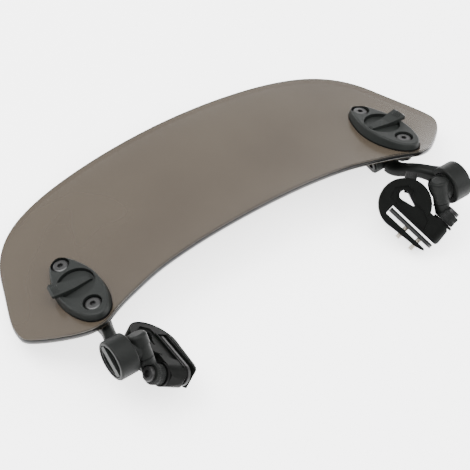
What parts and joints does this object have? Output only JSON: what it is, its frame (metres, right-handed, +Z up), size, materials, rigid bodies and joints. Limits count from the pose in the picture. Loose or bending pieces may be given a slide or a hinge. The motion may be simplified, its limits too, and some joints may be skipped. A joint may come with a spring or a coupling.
{
  "type": "motorcycle windshield extension screen",
  "caption": "Curved tinted clip-on windshield extension on two folding, swivelling arms, each ending in a screw clamp for the edge of a windshield.",
  "frame": {"origin": "bottom centre of the bounding box, on the surface it lies on, face up", "axes": "+X across the screen to its right end seen from the front, +Y towards the screen's top edge, +Z up out of its front face side"},
  "size_m": [0.2854, 0.1518, 0.0443],
  "materials": {
    "tinted_sheet": "gloss smoke-tinted polycarbonate sheet",
    "dark_plastic": "satin moulded",
    "knob_plastic": "satin moulded",
    "hinge_plastic": "satin moulded",
    "clamp_plastic": "satin moulded",
    "black_plastic": "matt moulded",
    "rubber": "matt",
    "steel": "bright machined",
    "dark_steel": "black oxide",
    "brass": "machined"
  },
  "bodies": {
    "screen_body": {"screen": "tinted_sheet", "plate_screws": "steel", "plate_nuts": "steel", "pivot_bolts": "dark_steel", "pivot_nuts": "steel", "knob_washers": "steel", "right_front_plate": "dark_plastic", "right_plate_gasket": "rubber", "right_rear_gasket": "rubber", "right_rear_base": "dark_plastic", "right_foot": "dark_plastic", "left_front_plate": "dark_plastic", "left_plate_gasket": "rubber", "left_rear_gasket": "rubber", "left_rear_base": "dark_plastic", "left_foot": "dark_plastic"},
    "right_knob": {"right_release_knob": "knob_plastic", "right_knob_shaft": "steel"},
    "right_arm": {"right_arm": "hinge_plastic", "right_arm_ratchet": "dark_steel"},
    "right_lock": {"right_lock_knob": "knob_plastic", "right_hinge_bolt": "dark_steel"},
    "right_head": {"right_hinge_head": "hinge_plastic", "right_head_ratchet": "dark_steel"},
    "right_neck": {"right_swivel_neck": "hinge_plastic", "right_neck_pin": "steel"},
    "right_clamp": {"right_swivel_flange": "black_plastic", "right_clip_body": "clamp_plastic", "right_clip_lock_screw": "dark_steel", "right_set_screw_inserts": "brass", "right_clip_pad": "rubber", "right_swivel_bolt": "dark_steel", "right_swivel_nut": "steel"},
    "right_jaw": {"right_moving_jaw": "dark_steel", "right_moving_jaw_rubber": "rubber"},
    "right_set": {"right_set_screws": "steel"},
    "left_knob": {"left_release_knob": "knob_plastic", "left_knob_shaft": "steel"},
    "left_arm": {"left_arm": "hinge_plastic", "left_arm_ratchet": "dark_steel"},
    "left_lock": {"left_lock_knob": "knob_plastic", "left_hinge_bolt": "dark_steel"},
    "left_head": {"left_hinge_head": "hinge_plastic", "left_head_ratchet": "dark_steel"},
    "left_neck": {"left_swivel_neck": "hinge_plastic", "left_neck_pin": "steel"},
    "left_clamp": {"left_swivel_flange": "black_plastic", "left_clip_body": "clamp_plastic", "left_clip_lock_screw": "dark_steel", "left_set_screw_inserts": "brass", "left_clip_pad": "rubber", "left_swivel_bolt": "dark_steel", "left_swivel_nut": "steel"},
    "left_jaw": {"left_moving_jaw": "dark_steel", "left_moving_jaw_rubber": "rubber"},
    "left_set": {"left_set_screws": "steel"}
  },
  "joints": [
    {"name": "right_knob_turn", "type": "hinge", "parent": "screen_body", "child": "right_knob", "pos_m": [0.10384, -0.00151, 0.0218], "axis": [0.1735, 0.3226, 0.9305], "range_deg": [0, 15]},
    {"name": "right_arm_tilt", "type": "hinge", "parent": "screen_body", "child": "right_arm", "pos_m": [0.10024, -0.01314, 0.01137], "axis": [1, 0, 0], "range_deg": [-7, 70]},
    {"name": "right_lock_turn", "type": "hinge", "parent": "right_arm", "child": "right_lock", "pos_m": [0.11234, -0.05357, 0.02799], "axis": [1, 0, 0], "range_deg": [0, 540]},
    {"name": "right_head_tilt", "type": "hinge", "parent": "right_arm", "child": "right_head", "pos_m": [0.11234, -0.05357, 0.02799], "axis": [1, 0, 0], "range_deg": [-60, 2]},
    {"name": "right_neck_swivel", "type": "hinge", "parent": "right_head", "child": "right_neck", "pos_m": [0.10094, -0.0524, 0.03642], "axis": [0, -0.5073, -0.8618], "range_deg": [-12, 1]},
    {"name": "right_clamp_swivel", "type": "hinge", "parent": "right_neck", "child": "right_clamp", "pos_m": [0.09694, -0.0675, 0.01584], "axis": [-0.8298, -0.094, -0.5501], "range_deg": [-60, 4]},
    {"name": "right_jaw_slide", "type": "slide", "parent": "right_clamp", "child": "right_jaw", "axis": [-0.8298, -0.094, -0.5501], "range_m": [-0.0009, 0.0015]},
    {"name": "right_set_screw_travel", "type": "slide", "parent": "right_clamp", "child": "right_set", "axis": [-0.8298, -0.094, -0.5501], "range_m": [-0.0009, 0.0015]},
    {"name": "left_knob_turn", "type": "hinge", "parent": "screen_body", "child": "left_knob", "pos_m": [-0.10396, -0.00151, 0.0218], "axis": [0.1735, -0.3226, -0.9305], "range_deg": [0, 9]},
    {"name": "left_arm_tilt", "type": "hinge", "parent": "screen_body", "child": "left_arm", "pos_m": [-0.10036, -0.01314, 0.01137], "axis": [1, 0, 0], "range_deg": [0, 75]},
    {"name": "left_lock_turn", "type": "hinge", "parent": "left_arm", "child": "left_lock", "pos_m": [-0.11246, -0.05094, 0.03332], "axis": [1, 0, 0], "range_deg": [0, 540]},
    {"name": "left_head_tilt", "type": "hinge", "parent": "left_arm", "child": "left_head", "pos_m": [-0.11246, -0.05094, 0.03332], "axis": [1, 0, 0], "range_deg": [-50, 0]},
    {"name": "left_neck_swivel", "type": "hinge", "parent": "left_head", "child": "left_neck", "pos_m": [-0.10106, -0.04739, 0.04105], "axis": [0, 0.7347, 0.6783], "range_deg": [-30, 0]},
    {"name": "left_clamp_swivel", "type": "hinge", "parent": "left_neck", "child": "left_clamp", "pos_m": [-0.09695, -0.06766, 0.02559], "axis": [-0.8204, 0.2245, 0.5259], "range_deg": [-60, 50]},
    {"name": "left_jaw_slide", "type": "slide", "parent": "left_clamp", "child": "left_jaw", "axis": [0.8204, -0.2245, -0.5259], "range_m": [-0.0009, 0.0015]},
    {"name": "left_set_screw_travel", "type": "slide", "parent": "left_clamp", "child": "left_set", "axis": [0.8204, -0.2245, -0.5259], "range_m": [-0.0009, 0.0015]}
  ],
  "couplings": [
    {"joint": "right_set_screw_travel", "follows": "right_jaw_slide", "ratio": 1},
    {"joint": "left_set_screw_travel", "follows": "left_jaw_slide", "ratio": 1}
  ]
}
